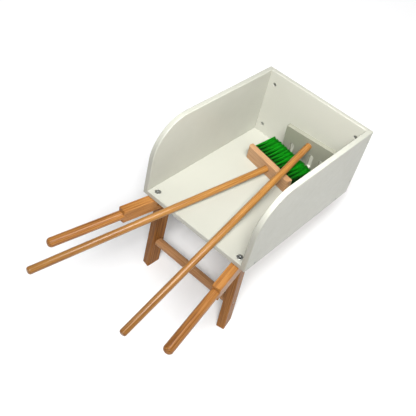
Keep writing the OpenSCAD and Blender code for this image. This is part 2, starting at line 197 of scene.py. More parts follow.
def inset(outline, by):
    """The outline moved inwards."""
    out = []
    n = len(outline)
    for i, p in enumerate(outline):
        e0 = (p - outline[i - 1]).normalized()
        e1 = (outline[(i + 1) % n] - p).normalized()
        normal = Vector((-e0.y - e1.y, e0.x + e1.x))
        normal = normal / max(1e-9, 1 + e0.dot(e1))
        out.append(p + normal * by)
    return out


def stack(rings):
    """Faces joining equal rings of points, capped at both ends."""
    n = len(rings[0])
    verts = [v for ring in rings for v in ring]
    faces = [
        (a * n + i, a * n + (i + 1) % n, (a + 1) * n + (i + 1) % n, (a + 1) * n + i)
        for a in range(len(rings) - 1)
        for i in range(n)
    ]
    faces.append(tuple(reversed(range(n))))
    faces.append(tuple(range((len(rings) - 1) * n, len(rings) * n)))
    return verts, faces


def slab(outline, depth, edge_r, steps=4):
    """An outline in X and Y made a board along Z, with its edges rounded."""
    levels = []
    for k in range(steps + 1):
        t = math.pi / 2 * k / steps
        levels.append((edge_r * (1 - math.sin(t)), edge_r * (1 - math.cos(t))))
    levels += [(i, depth - z) for i, z in reversed(levels)]
    rings = [[(p.x, p.y, z) for p in inset(outline, i)] for i, z in levels]
    return stack(rings)


def circle(r, z, sides):
    """Points evenly round a circle about Z."""
    return [
        (r * math.cos(2 * math.pi * k / sides), r * math.sin(2 * math.pi * k / sides), z)
        for k in range(sides)
    ]


def lathe(profile, sides=64):
    """A profile of (radius, z) turned about Z. A radius of 0 closes an end in a point."""
    verts, faces, rows = [], [], []
    for r, z in profile:
        if r == 0:
            rows.append([len(verts)] * sides)
            verts.append((0, 0, z))
        else:
            rows.append(list(range(len(verts), len(verts) + sides)))
            verts += circle(r, z, sides)
    for low, high in zip(rows, rows[1:]):
        for k in range(sides):
            m = (k + 1) % sides
            face = []
            for v in (low[k], low[m], high[m], high[k]):
                if v not in face:
                    face.append(v)
            if len(face) > 2:
                faces.append(tuple(face))
    first, last = rows[0], rows[-1]
    if first[0] != first[-1]:
        faces.append(tuple(reversed(first)))
    if last[0] != last[-1]:
        faces.append(tuple(last))
    return verts, faces


def ring_lathe(profile, sides=128):
    """A closed profile of (radius, z) turned about Z into a ring."""
    n = len(profile)
    verts = [
        (r * math.cos(2 * math.pi * k / sides), r * math.sin(2 * math.pi * k / sides), z)
        for k in range(sides)
        for r, z in profile
    ]
    faces = [
        (k * n + i, k * n + (i + 1) % n, (k + 1) % sides * n + (i + 1) % n, (k + 1) % sides * n + i)
        for k in range(sides)
        for i in range(n)
    ]
    return verts, faces


def arc(r0, z0, r, start, end, steps=6):
    """Points of an arc of radius r about (r0, z0), between two angles in degrees."""
    return [
        (
            r0 + r * math.cos(math.radians(start + (end - start) * k / steps)),
            z0 + r * math.sin(math.radians(start + (end - start) * k / steps)),
        )
        for k in range(steps + 1)
    ]


def make(name, shape, place):
    """A mesh object from millimetre points, placed by a matrix."""
    verts, faces = shape
    mesh = bpy.data.meshes.new(name)
    mesh.from_pydata([Vector(v) * MM for v in verts], [], faces)
    mesh.validate()
    bm = bmesh.new()
    bm.from_mesh(mesh)
    bmesh.ops.recalc_face_normals(bm, faces=bm.faces)
    bm.to_mesh(mesh)
    bm.free()
    obj = bpy.data.objects.new(name, mesh)
    bpy.context.scene.collection.objects.link(obj)
    obj.matrix_world = place
    bpy.context.view_layer.update()
    return obj


def settle(obj):
    """Replaces the mesh with what its modifiers make of it."""
    bpy.context.view_layer.update()
    graph = bpy.context.evaluated_depsgraph_get()
    mesh = bpy.data.meshes.new_from_object(obj.evaluated_get(graph))
    obj.modifiers.clear()
    obj.data = mesh


def carve(obj, cutters, how="DIFFERENCE"):
    """Cuts the cutters out of an object, or joins or intersects it with them."""
    for cutter in cutters:
        mod = obj.modifiers.new(how.lower(), "BOOLEAN")
        mod.operation = how
        mod.solver = "EXACT"
        mod.object = cutter
    settle(obj)
    for cutter in cutters:
        bpy.data.objects.remove(cutter)


def bore(place, d, length, sides=40):
    """A round cutter from the placed origin along its Z."""
    return make("cutter", lathe([(d / 2, 0), (d / 2, length)], sides), place)


def merge(name, shapes_and_places):
    """One object from several shapes, each in its own place."""
    verts, faces = [], []
    for (shape_verts, shape_faces), place in shapes_and_places:
        base = len(verts)
        verts += [(place @ (Vector(v) * MM)) / MM for v in shape_verts]
        faces += [tuple(i + base for i in face) for face in shape_faces]
    return make(name, (verts, faces), Matrix())


def smooth(obj, degrees=34):
    """Smooth shading, with edges sharper than the angle kept sharp."""
    obj.data.polygons.foreach_set("use_smooth", [True] * len(obj.data.polygons))
    obj.data.set_sharp_from_angle(angle=math.radians(degrees))
    mod = obj.modifiers.new("normals", "WEIGHTED_NORMAL")
    mod.keep_sharp = True
    return obj


def set_material(obj, material):
    obj.data.materials.clear()
    obj.data.materials.append(material)


def dress(obj, material, body, nodes):
    """Gives a finished object its material and its body, and hides the CAD nodes that it replaces."""
    set_material(obj, material)
    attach(obj, body)
    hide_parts(*nodes)


# ---- materials ----

# the gap between growth rings, and between the rings of a wave texture at scale 1, in millimetres
RING_GAP, WAVE_PERIOD = 3.6, 0.314


class Tree:
    """Small helper that adds shader nodes and joins them."""

    def __init__(self, name):
        self.material = bpy.data.materials.new(name)
        self.material.use_nodes = True
        self.nodes = self.material.node_tree.nodes
        self.links = self.material.node_tree.links
        self.shader = self.nodes["Principled BSDF"]

    def add(self, kind, inputs=None, **settings):
        node = self.nodes.new(kind)
        for key, value in settings.items():
            setattr(node, key, value)
        for key, value in (inputs or {}).items():
            self.put(node, key, value)
        return node

    def put(self, node, key, value):
        if isinstance(value, bpy.types.NodeSocket):
            self.links.new(value, node.inputs[key])
        else:
            node.inputs[key].default_value = value

    def millimetres(self, scale=(1, 1, 1), shift=(0, 0, 0)):
        """Places on the object in millimetres, scaled along each axis."""
        where = self.add("ShaderNodeTexCoord").outputs["Object"]
        node = self.add("ShaderNodeMapping", {"Vector": where})
        node.inputs["Scale"].default_value = [s / MM for s in scale]
        node.inputs["Location"].default_value = shift
        return node.outputs[0]

    def noise(self, vector, scale=1.0, detail=3.0, roughness=0.5):
        return self.add(
            "ShaderNodeTexNoise",
            {"Vector": vector, "Scale": scale, "Detail": detail, "Roughness": roughness, "Distortion": 0.0},
        ).outputs["Fac"]

    def ramp(self, value, *stops):
        node = self.add("ShaderNodeValToRGB", {"Fac": value})
        while len(node.color_ramp.elements) < len(stops):
            node.color_ramp.elements.new(0.5)
        for element, (at, colour) in zip(node.color_ramp.elements, stops):
            element.position = at
            element.color = (*colour, 1)
        return node.outputs["Color"]

    def grey(self, value, low, high, out_low=0.0, out_high=1.0):
        """A value's range from low to high stretched to another range."""
        node = self.add(
            "ShaderNodeMapRange",
            {"Value": value, "From Min": low, "From Max": high, "To Min": out_low, "To Max": out_high},
        )
        return node.outputs["Result"]

    def maths(self, operation, a, b=0.0):
        return self.add("ShaderNodeMath", {0: a, 1: b}, operation=operation).outputs[0]

    def mix(self, amount, a, b):
        """Colour a changed towards colour b by an amount."""
        node = self.add("ShaderNodeMix", data_type="RGBA")
        self.put(node, 0, amount)
        for index, value in ((6, a), (7, b)):
            self.put(node, index, (*value, 1) if isinstance(value, tuple) else value)
        return node.outputs[2]

    def edge(self, radius_mm, low=0.02, high=0.3):
        """1 along the rounded edges, 0 on the flats."""
        soft = self.add("ShaderNodeBevel", {"Radius": radius_mm * MM}, samples=4).outputs[0]
        flat = self.add("ShaderNodeNewGeometry").outputs["Normal"]
        dot = self.add("ShaderNodeVectorMath", {0: soft, 1: flat}, operation="DOT_PRODUCT").outputs["Value"]
        return self.grey(self.maths("SUBTRACT", 1.0, dot), low, high)

    def bump(self, height, distance_mm):
        settings = {"Height": height, "Distance": distance_mm * MM, "Strength": 1.0}
        return self.add("ShaderNodeBump", settings).outputs[0]

    def done(self, **sockets):
        """Joins values to the shader's sockets, whose names are written with underscores."""
        for key, value in sockets.items():
            self.put(self.shader, key.replace("_", " "), value)
        return self.material


def shaded(colour, by):
    """A colour made darker or lighter, kept within range."""
    return tuple(min(1, c * by) for c in colour)


def painted(name, colour, lit_and_worn_edge_colour, gloss=0.38):
    """Sprayed paint on board: faint mottle, orange peel, and edges painted lighter in patches, partly as
    rubbed paint and partly as a painted highlight.
    """
    t = Tree(name)
    mottle = t.noise(t.millimetres(), 0.012, 3)
    base = t.mix(t.grey(mottle, 0.35, 0.65, 0, 1), shaded(colour, 0.975), colour)
    specks = t.noise(t.millimetres(), 0.35, 4, 0.6)
    base = t.mix(t.grey(specks, 0.62, 0.8, 0, 0.06), base, shaded(colour, 0.82))
    # Edges painted lighter in patches: partly rubbed paint, partly a painted highlight along them.
    edge = t.edge(1.6)
    patches = t.grey(t.noise(t.millimetres(), 0.12, 4), 0.35, 0.6, 0.35, 1.0)
    base = t.mix(t.maths("MULTIPLY", edge, patches), base, lit_and_worn_edge_colour)
    fine = t.noise(t.millimetres(), 0.9, 3, 0.55)
    wide = t.noise(t.millimetres(), 0.07, 2)
    rough = t.grey(wide, 0.3, 0.7, gloss - 0.04, gloss + 0.05)
    rough = t.maths("ADD", rough, t.grey(fine, 0, 1, -0.03, 0.03))
    return t.done(Base_Color=base, Roughness=rough, Normal=t.bump(fine, 0.012))


def wood(name, light, mid, dark, seed, gloss=0.42, fleck=0.55, contrast=1.0, coat=0.4):
    """Straight-grained wood with the grain along local X: growth rings, fibres, pores and flecks.

    The seed picks the place in the log that the piece is cut from. Contrast is how strong the
    rings and fibres are, and coat how thick the oil or varnish is.
    """
    t = Tree(name)
    shift = (seed * 37.0, 31.0 + seed * 5.3, -44.0 + seed * 7.7)
    drift = t.noise(t.millimetres((0.004, 0.03, 0.03), shift), 1.0, 2)
    grain_at = t.millimetres((0.10, 1, 1), shift)
    rings = t.add(
        "ShaderNodeTexWave",
        {
            "Vector": grain_at,
            "Scale": WAVE_PERIOD / RING_GAP,
            "Distortion": 5.0,
            "Detail": 3.0,
            "Detail Scale": 0.35,
            "Detail Roughness": 0.6,
        },
        wave_type="RINGS",
        rings_direction="X",
        wave_profile="SAW",
    ).outputs["Fac"]
    fibre = t.noise(t.millimetres((0.035, 1.5, 1.5), shift), 1.0, 5, 0.62)
    streak = t.noise(t.millimetres((0.012, 0.35, 0.35), shift), 1.0, 4, 0.55)
    flecks = t.noise(t.millimetres((0.22, 2.6, 2.6), shift), 1.0, 2, 0.5)
    swing = 0.16 * contrast
    tone = t.maths("ADD", t.grey(rings, 0, 1, -swing, swing), t.grey(streak, 0.25, 0.75, 0.12, 0.88))
    tone = t.maths("ADD", tone, t.grey(fibre, 0.2, 0.8, -swing, swing))
    tone = t.maths("ADD", tone, t.grey(drift, 0.3, 0.7, -0.18, 0.18))
    base = t.ramp(tone, (0.05, dark), (0.5, mid), (0.95, light))
    spots = t.grey(flecks, 0.63, 0.72)
    base = t.mix(t.maths("MULTIPLY", spots, fleck), base, shaded(dark, 0.55))
    # Edges painted lighter: partly rubbed wood, partly a painted highlight along them.
    rubbed_and_highlit_edges = t.maths("MULTIPLY", t.edge(1.2), 0.35)
    base = t.mix(rubbed_and_highlit_edges, base, shaded(light, 1.12))
    height = t.maths("ADD", fibre, t.maths("MULTIPLY", rings, 0.3))
    height = t.maths("SUBTRACT", height, t.maths("MULTIPLY", spots, 0.5))
    return t.done(
        Base_Color=base,
        Roughness=t.grey(fibre, 0.2, 0.8, gloss - 0.07, gloss + 0.1),
        Normal=t.bump(height, 0.10),
        Coat_Weight=coat,
        Coat_Roughness=0.2,
        Specular_IOR_Level=0.1 + 0.6 * coat,
    )


def metal(name, colour, rough=0.32):
    """Plated steel: brushed and a little stained."""
    t = Tree(name)
    cloud = t.noise(t.millimetres(), 0.5, 4, 0.6)
    brush = t.noise(t.millimetres((6, 0.6, 6)), 1.0, 2)
    base = t.mix(t.grey(cloud, 0.35, 0.7), colour, shaded(colour, 0.72))
    # Edges painted lighter: a painted highlight along them.
    base = t.mix(t.maths("MULTIPLY", t.edge(0.5), 0.5), base, shaded(colour, 1.25))
    return t.done(
        Base_Color=base,
        Metallic=1.0,
        Roughness=t.grey(cloud, 0.3, 0.7, rough - 0.06, rough + 0.16),
        Normal=t.bump(brush, 0.01),
    )


def rubber(name):
    """Black rubber with dust in its grain."""
    t = Tree(name)
    dust = t.noise(t.millimetres(), 0.08, 5, 0.65)
    grit = t.noise(t.millimetres(), 1.4, 3)
    base = t.mix(t.grey(dust, 0.45, 0.75), (0.018, 0.018, 0.019), (0.05, 0.048, 0.045))
    # Edges painted lighter: a painted highlight along them.
    base = t.mix(t.maths("MULTIPLY", t.edge(1.2), 0.4), base, (0.07, 0.068, 0.065))
    return t.done(Base_Color=base, Roughness=t.grey(dust, 0.3, 0.7, 0.62, 0.8), Normal=t.bump(grit, 0.05))


def plastic(name, colour):
    """Moulded plastic, faintly clouded."""
    t = Tree(name)
    cloud = t.noise(t.millimetres(), 0.3, 3)
    grit = t.noise(t.millimetres(), 2.0, 2)
    base = t.mix(t.grey(cloud, 0.3, 0.7), colour, shaded(colour, 0.9))
    # Edges painted lighter: a painted highlight along them.
    base = t.mix(t.maths("MULTIPLY", t.edge(0.4), 0.4), base, shaded(colour, 1.1))
    return t.done(Base_Color=base, Roughness=t.grey(cloud, 0.3, 0.7, 0.38, 0.5), Normal=t.bump(grit, 0.02))


def bristle_material():
    """Green synthetic bristle. Each bristle has its own tone and carries painted shade: darker towards its
    root, on the sides of its tuft and in the inner rows.
    """
    t = Tree("bristle")
    # The shade attribute holds each bristle's random tone together with its painted shade.
    own = t.add("ShaderNodeAttribute", attribute_name="shade").outputs["Fac"]
    length = t.noise(t.millimetres((0.05, 1.5, 1.5)), 1.0, 3)
    tone = t.maths("ADD", own, t.grey(length, 0.3, 0.7, -0.15, 0.15))
    deep, green, bright = (0.0003, 0.014, 0.0005), (0.0008, 0.125, 0.0015), (0.002, 0.29, 0.004)
    ribs = t.noise(t.millimetres((0.4, 8, 8)), 1.0, 2)
    return t.done(
        Base_Color=t.ramp(tone, (0.0, deep), (0.5, green), (1.0, bright)),
        Roughness=t.grey(length, 0.3, 0.7, 0.42, 0.56),
        Normal=t.bump(ribs, 0.03),
        Specular_IOR_Level=0.2,
    )


# The second colour of each paint is its edges' colour: rubbed paint and a painted highlight. It is much
# lighter on the rake's head.
PAINT = painted("tray_paint", (0.434, 0.434, 0.378), (0.47, 0.47, 0.435))
HEAD_PAINT = painted("head_paint", (0.268, 0.270, 0.212), (0.64, 0.61, 0.50), gloss=0.42)

# light, middle and dark tones of each kind of wood
RAIL_TONES = ((0.430, 0.202, 0.055), (0.348, 0.143, 0.033), (0.191, 0.067, 0.014))
LEG_TONES = ((0.349, 0.152, 0.040), (0.262, 0.103, 0.022), (0.147, 0.051, 0.011))
BAR_TONES = ((0.471, 0.265, 0.128), (0.393, 0.200, 0.086), (0.283, 0.123, 0.043))
STICK_TONES = ((0.393, 0.197, 0.052), (0.319, 0.141, 0.030), (0.193, 0.071, 0.014))
PALE_TONES = ((0.47, 0.285, 0.148), (0.40, 0.220, 0.105), (0.28, 0.140, 0.062))
OILED = {
    name: wood("oiled_" + name, *tones, seed=seed, contrast=1.7, coat=coat)
    for name, tones, seed, coat in (
        ("left", RAIL_TONES, 1.0, 0.16),
        ("right", RAIL_TONES, 2.3, 0.16),
        ("left_leg", LEG_TONES, 3.1, 0.02),
        ("right_leg", LEG_TONES, 4.7, 0.02),
        ("bar", BAR_TONES, 5.2, 0.25),
        ("wheel", RAIL_TONES, 6.4, 0.25),
    )
}
STICK_WOOD = {
    name: wood("stick_" + name, *STICK_TONES, seed=seed, gloss=0.34, contrast=1.4)
    for name, seed in (("broom", 7.6), ("rake", 8.9))
}
PALE_WOOD = wood("pale_wood", *PALE_TONES, seed=9.3, gloss=0.5, fleck=0.35, contrast=0.7)
ZINC = metal("zinc_steel", (0.40, 0.41, 0.40))
BRIGHT = metal("bright_steel", (0.56, 0.57, 0.57), 0.26)
RUBBER = rubber("tyre_rubber")
NYLON = plastic("nylon", (0.74, 0.74, 0.70))
BRISTLE = bristle_material()

# ---- tray ----

UPRIGHT = turn(90, "X")
FORWARD = turn(90, "Y")
ACROSS_TRAY = TRAY @ move(0, INNER_W / 2, 0) @ UPRIGHT


def side_bolt_places():
    """The left and right cross bolts: origin on the outer face, Z pointing out."""
    for side in (1, -1):
        out = turn(-90 * side, "X")
        for z in PANEL_BOLT_Z:
            yield TRAY @ move(TRAY_L - BOARD / 2, side * TRAY_W / 2, z) @ out
        for x in FLOOR_BOLT_X:
            yield TRAY @ move(x, side * TRAY_W / 2, BOARD / 2) @ out


def floor_bolt_places():
    """The bolts through the floor into the rails: origin under the head, Z pointing up."""
    for side in (1, -1):
        for u in FLOOR_BOLT_U:
            yield RAIL[side] @ move(u, 0, BOARD - BOLT_SINK)


def nut_holes(places):
    return [bore(at @ move(0, 0, -CLEAR), NUT_D + GAP, NUT_BORE + CLEAR) for at in places]


def across_sides():
    """Left and right places of the barrel nuts, measured across the tray."""
    return [side * (TRAY_W / 2 - BOARD - NUT_IN) for side in (1, -1)]


def side_bolt_cutters():
    cutters = []
    for at in side_bolt_places():
        cutters.append(bore(at @ move(0, 0, -JOINT_SINK), JOINT_HEAD_D + JOINT_HEAD_GAP, JOINT_SINK + CLEAR))
        cutters.append(bore(at @ move(0, 0, -BOARD - JOINT_RUN), JOINT_HOLE_D, BOARD + JOINT_RUN))
    return cutters


def build_floor_board():
    outline = fillet([(0, 0, 2), (PANEL_X, 0, 0.5), (PANEL_X, BOARD, 0.5), (0, BOARD, 2.2)])
    floor = make("floor_board_look", slab(outline, INNER_W, BOARD_END_R), ACROSS_TRAY)
    cutters = side_bolt_cutters()
    for at in floor_bolt_places():
        cutters.append(bore(at, BOLT_HEAD_D + BOLT_HEAD_GAP, BOLT_SINK + CLEAR, 64))
        cutters.append(bore(at @ move(0, 0, -FLOOR_BORE), BOLT_HOLE_D, FLOOR_BORE + CLEAR))
    cutters += nut_holes(TRAY @ move(x, y, 0) for y in across_sides() for x in FLOOR_BOLT_X)
    carve(floor, cutters)
    dress(smooth(floor), PAINT, "barrow", ["floor_board"])


def build_end_panel():
    outline = fillet([(PANEL_X, 0, 0.5), (TRAY_L, 0, 2), (TRAY_L, TRAY_H, 2.2), (PANEL_X, TRAY_H, 2.2)])
    panel = make("end_panel_look", slab(outline, INNER_W, BOARD_END_R), ACROSS_TRAY)
    places = (TRAY @ move(PANEL_X, y, z) @ FORWARD for y in across_sides() for z in PANEL_BOLT_Z)
    carve(panel, side_bolt_cutters() + nut_holes(places))
    dress(smooth(panel), PAINT, "barrow", ["end_panel"])


def build_side(side):
    """A side panel, whose corner at the open end is a large round. Its place is put in its mesh."""
    name = SIDE_NAME[side]
    y = TRAY_W / 2 if side == 1 else -INNER_W / 2
    r = SIDE_CORNER_R
    outline = fillet([(0, 0, r), (TRAY_L, 0, r), (TRAY_L, TRAY_H, r), (0, TRAY_H, CORNER_R)])
    board = make(name + "_side_look", slab(outline, BOARD, SIDE_EDGE_R), TRAY @ move(0, y, 0) @ UPRIGHT)
    carve(board, side_bolt_cutters())
    board.data.transform(board.matrix_world)
    board.matrix_world = Matrix()
    dress(smooth(board), PAINT, "barrow", [name + "_side"])


# ---- rails, legs and stretcher ----


def cross_hole(side, u, z, wood_w):
    """A barrel nut's hole from the inner face of a rail or leg, stopped short of the outer face."""
    at = RAIL[side] @ move(u, -side * wood_w, z) @ turn(-90 * side, "X")
    return bore(at, NUT_D + GAP, wood_w * 1.5 - NUT_COVER)


def axle_cutters(side):
    """The axle's hole in a rail, and the seats of its spacer and washer."""
    axle_at = TRAY @ move(AXLE_X, 0, RAIL_MID) @ turn(-90 * side, "X")
    middle = RAIL_Y - AXLE_X * math.tan(SPLAY)
    half = RAIL_W / 2 / math.cos(SPLAY)
    return [
        bore(axle_at, AXLE_D + GAP, RAIL_Y),
        bore(axle_at, SEAT_IN_D, middle - half + SEAT_IN),
        bore(axle_at @ move(0, 0, middle + half - SEAT_OUT), SEAT_OUT_D, OUTWARDS),
    ]


def build_rail(side):
    """A square bar with a half-round end at the axle, rounded down to a turned handle."""
    name = SIDE_NAME[side]
    end, r = AXLE_X / math.cos(SPLAY), RAIL_H / 2
    turns = [math.radians(a) for a in range(0, 181, 9)]
    tail = [(end + r * math.sin(a), RAIL_MID - r * math.cos(a)) for a in turns]
    outline = [Vector(p) for p in [(-SHOULDER, -RAIL_H), *tail, (-SHOULDER, 0)]]
    place = RAIL[side] @ move(0, RAIL_W / 2, 0) @ UPRIGHT
    rail = make(name + "_rail_look", slab(outline, RAIL_W, RAIL_EDGE_R), place)

    shoulder_at = RAIL[side] @ move(-SHOULDER, 0, RAIL_MID)
    reach = math.hypot(RAIL_W, RAIL_H) / 2 + CLEAR
    envelope = [(0, 0)] + arc(reach - SHOULDER_R, SHOULDER_R, SHOULDER_R, 270, 360)
    envelope += [(reach, BEYOND_RAIL), (0, BEYOND_RAIL)]
    carve(rail, [make("shoulder", lathe(envelope, 96), shoulder_at @ FORWARD)], "INTERSECT")

    r, length = HANDLE_D / 2, HANDLE_END - SHOULDER
    grip = [(0, -HANDLE_ROOT), (r, -HANDLE_ROOT)]
    grip += arc(r - HANDLE_END_R, length - HANDLE_END_R, HANDLE_END_R, 0, 90, 8) + [(0, length)]
    carve(rail, [make("grip", lathe(grip), shoulder_at @ turn(-90, "Y"))], "UNION")

    cutters = []
    for u in FLOOR_BOLT_U:
        cutters.append(bore(RAIL[side] @ move(u, 0, -BOLT_RUN), BOLT_HOLE_D, BOLT_RUN + BOARD + 2 * CLEAR))
        cutters.append(cross_hole(side, u, RAIL_MID, RAIL_W))
    carve(rail, cutters + axle_cutters(side))
    dress(smooth(rail), OILED[name], "barrow", [name + "_rail"])


def leg_at_stretcher():
    """How far a leg's inner and outer faces are from the barrow's middle, at the stretcher."""
    drop = (-STRETCHER_Z - RAIL_H) / math.cos(LEAN_OUT)
    middle = RAIL_Y - LEG_X * math.sin(SPLAY)
    middle += drop * (math.sin(LEAN_OUT) * math.cos(SPLAY) - math.sin(LEAN_FWD) * math.sin(SPLAY))
    half = LEG_W / 2 / math.cos(SPLAY)
    return middle - half, middle + half


def leg_rings(place):
    """The leg's outline where it meets the rail, then where its eased foot is cut by the ground."""
    outline, inverse, tray_inverse = soft_rect(LEG_W, LEG_L, LEG_EDGE_R), place.inverted(), TRAY.inverted()
    down = (place.to_3x3() @ Vector((1, 0, 0))).normalized()
    tray_down = (tray_inverse.to_3x3() @ down).normalized()

    def ring(shrink, cut):
        corners = [place @ (Vector((0, p.x, p.y)) * MM) for p in inset(outline, shrink)]
        return [(inverse @ cut(corner)) / MM for corner in corners]

    def at_rail(corner):
        local = tray_inverse @ corner
        return TRAY @ (local + tray_down * ((-RAIL_H * MM - local.z) / tray_down.z))

    def above_ground(height):
        return lambda corner: corner + down * ((height * MM - corner.z) / down.z)

    rings = [ring(0, at_rail)]
    for degrees in (0, 22.5, 45, 67.5, 90):
        t = math.radians(degrees)
        rings.append(ring(FOOT_EDGE_R * (1 - math.cos(t)), above_ground(FOOT_EDGE_R * (1 - math.sin(t)))))
    return rings


def build_leg(side):
    """A square leg from the rail's underside, its foot cut level with the ground."""
    name = SIDE_NAME[side]
    lean = Matrix.Rotation(-LEAN_FWD, 4, "Y") @ Matrix.Rotation(side * LEAN_OUT, 4, "X")
    place = RAIL[side] @ move(LEG_X, 0, -RAIL_H) @ lean @ FORWARD
    leg = make(name + "_leg_look", stack(leg_rings(place)), place)
    across = TRAY @ move(STRETCHER_X, 0, STRETCHER_Z) @ turn(-90 * side, "X")
    inner, outer = leg_at_stretcher()
    carve(leg, [
        bore(across, STRETCHER_D + GAP, inner + STRETCHER_SEAT + GAP / 2),
        bore(across, SCREW_HOLE_D, THROUGH_LEG),
        bore(across @ move(0, 0, outer - LEG_SCREW_SINK), JOINT_HEAD_D + JOINT_HEAD_GAP, OUTWARDS),
        bore(RAIL[side] @ move(LEG_X, 0, LEG_NUT_Z - LEG_BORE), BOLT_HOLE_D, UP_LEG),
        cross_hole(side, LEG_X, LEG_NUT_Z, LEG_W),
    ])
    dress(smooth(leg), OILED[name + "_leg"], "barrow", [name + "_leg"])


def build_stretcher():
    """The bar between the legs, made along local X so that its grain runs along it."""
    half, r = leg_at_stretcher()[0] + STRETCHER_SEAT, STRETCHER_D / 2
    place = TRAY @ move(STRETCHER_X, 0, STRETCHER_Z) @ turn(90, "Z")
    bar = make("stretcher_look", lathe([(0, -half), (r, -half), (r, half), (0, half)]), place)
    bar.data.transform(FORWARD)
    dress(smooth(bar), OILED["bar"], "barrow", ["stretcher"])


# ---- bolts ----


def bolt_shape(d, h, key, shank_d, shank_l):
    """Low round head with a hexagon socket, on a plain shank, as one closed turned shape."""
    sides, edge, socket = 48, 0.7, 1.9
    r, key_r = d / 2, key / math.sqrt(3)
    profile = [(0, -shank_l), (shank_d / 2, -shank_l), (shank_d / 2, 0), (r, 0)]
    profile += arc(r - edge, h - edge, edge, 0, 90, 4)
    profile += [(key_r * 1.22, h), (key_r * 1.02, h - 0.25)]
    verts, faces = lathe(profile, sides)
    faces.pop()  # the flat over the socket
    rows = [list(range(len(verts) - sides, len(verts)))]
    for z in (h - 0.3, h - socket):
        rows.append(list(range(len(verts), len(verts) + sides)))
        for k in range(sides):
            a = 2 * math.pi * k / sides
            from_flat = (a + math.pi / 6) % (math.pi / 3) - math.pi / 6
            reach = key_r * math.cos(math.pi / 6) / math.cos(from_flat)
            verts.append((reach * math.cos(a), reach * math.sin(a), z))
    for low, high in zip(rows, rows[1:]):
        for k in range(sides):
            m = (k + 1) % sides
            faces.append((low[k], low[m], high[m], high[k]))
    faces.append(tuple(rows[-1]))
    return verts, faces


def build_bolts():
    big = bolt_shape(BOLT_HEAD_D, BOLT_HEAD_H, BOLT_KEY, BOLT_D, BOLT_L)
    small = bolt_shape(JOINT_HEAD_D, JOINT_HEAD_H, JOINT_KEY, JOINT_D, JOINT_L)
    floor = merge("floor_bolts_look", [(big, at) for at in floor_bolt_places()])
    dress(smooth(floor), ZINC, "barrow", ["floor_bolts"])
    sides = merge("side_bolts_look", [(small, at @ move(0, 0, -JOINT_SINK)) for at in side_bolt_places()])
    dress(smooth(sides), ZINC, "barrow", ["side_bolts"])


# ---- wheel ----


def disc_profile(r, w):
    """Hub, recessed web and rim of a disc of radius r and half width w."""
    low, ease = w - RECESS, WHEEL_EASE
    half = [(HUB_BORE_R, w - BORE_CHAMFER), (HUB_BORE_R + BORE_CHAMFER, w), (HUB_R - ease, w)]
    half += arc(HUB_R - ease, w - ease, ease, 90, 0, 4)
    half += [(HUB_R + ease, low), (r - RIM_W, low)]
    half += arc(r - RIM_W + ease, w - ease, ease, 180, 90, 4)
    half += [(r - RIM_CHAMFER, w), (r, w - RIM_CHAMFER)]
    return half + [(a, -z) for a, z in reversed(half)]


def tyre_profile(r, t):
    """A tyre on a rim of radius r, of half width t, with shallow grooves round its tread."""
    inner, outer = r + TYRE_IN_R, WHEEL_R - TYRE_OUT_R
    foot, foot_z = r + 0.1, t - 2.5
    low = WHEEL_R - GROOVE_DEPTH
    tread = [(foot, -foot_z)] + arc(inner, -t + TYRE_IN_R, TYRE_IN_R, 190, 270, 5)
    tread += arc(outer, -t + TYRE_OUT_R, TYRE_OUT_R, 270, 350, 6)
    for z in GROOVES_Z:
        tread += [(WHEEL_R, z - GROOVE_TOP), (low, z - GROOVE_BOTTOM)]
        tread += [(low, z + GROOVE_BOTTOM), (WHEEL_R, z + GROOVE_TOP)]
    tread += arc(outer, t - TYRE_OUT_R, TYRE_OUT_R, 10, 90, 6)
    tread += arc(inner, t - TYRE_IN_R, TYRE_IN_R, 90, 170, 5) + [(foot, foot_z)]
    return tread


def build_wheel():
    hub = Matrix.Translation(AXLE_AT) @ turn(-90, "X")
    r, w = WHEEL_R - TYRE_T, WHEEL_W / 2
    disc = make("wheel_disc_look", ring_lathe(disc_profile(r, w)), hub)
    dress(smooth(disc), OILED["wheel"], "wheel", ["wheel_disc"])
    tyre = make("tyre_look", ring_lathe(tyre_profile(r, w + TYRE_OVERLAP)), hub)
    dress(smooth(tyre, 50), RUBBER, "wheel", ["tyre"])


# ---- broom ----


def tufts():
    """Row number from the middle, and the place of each tuft's root on the block's face."""
    for i in range(TUFTS_Y):
        for j in range(TUFTS_Z):
            y, z = i - (TUFTS_Y - 1) / 2, j - (TUFTS_Z - 1) / 2
            yield z, Vector((BLOCK_T, y * TUFT_PITCH_Y, z * TUFT_PITCH_Z))


def stick(length, seat):
    """A dowel along local -X with rounded ends, let into its head by seat."""
    r, end = STICK_D / 2, length + seat
    profile = [(0, 0), (r - 1, 0), (r, 1)]
    profile += arc(r - STICK_END_R, end - STICK_END_R, STICK_END_R, 0, 90, 10) + [(0, end)]
    verts, faces = lathe(profile)
    return [(seat - z, y, x) for x, y, z in verts], faces


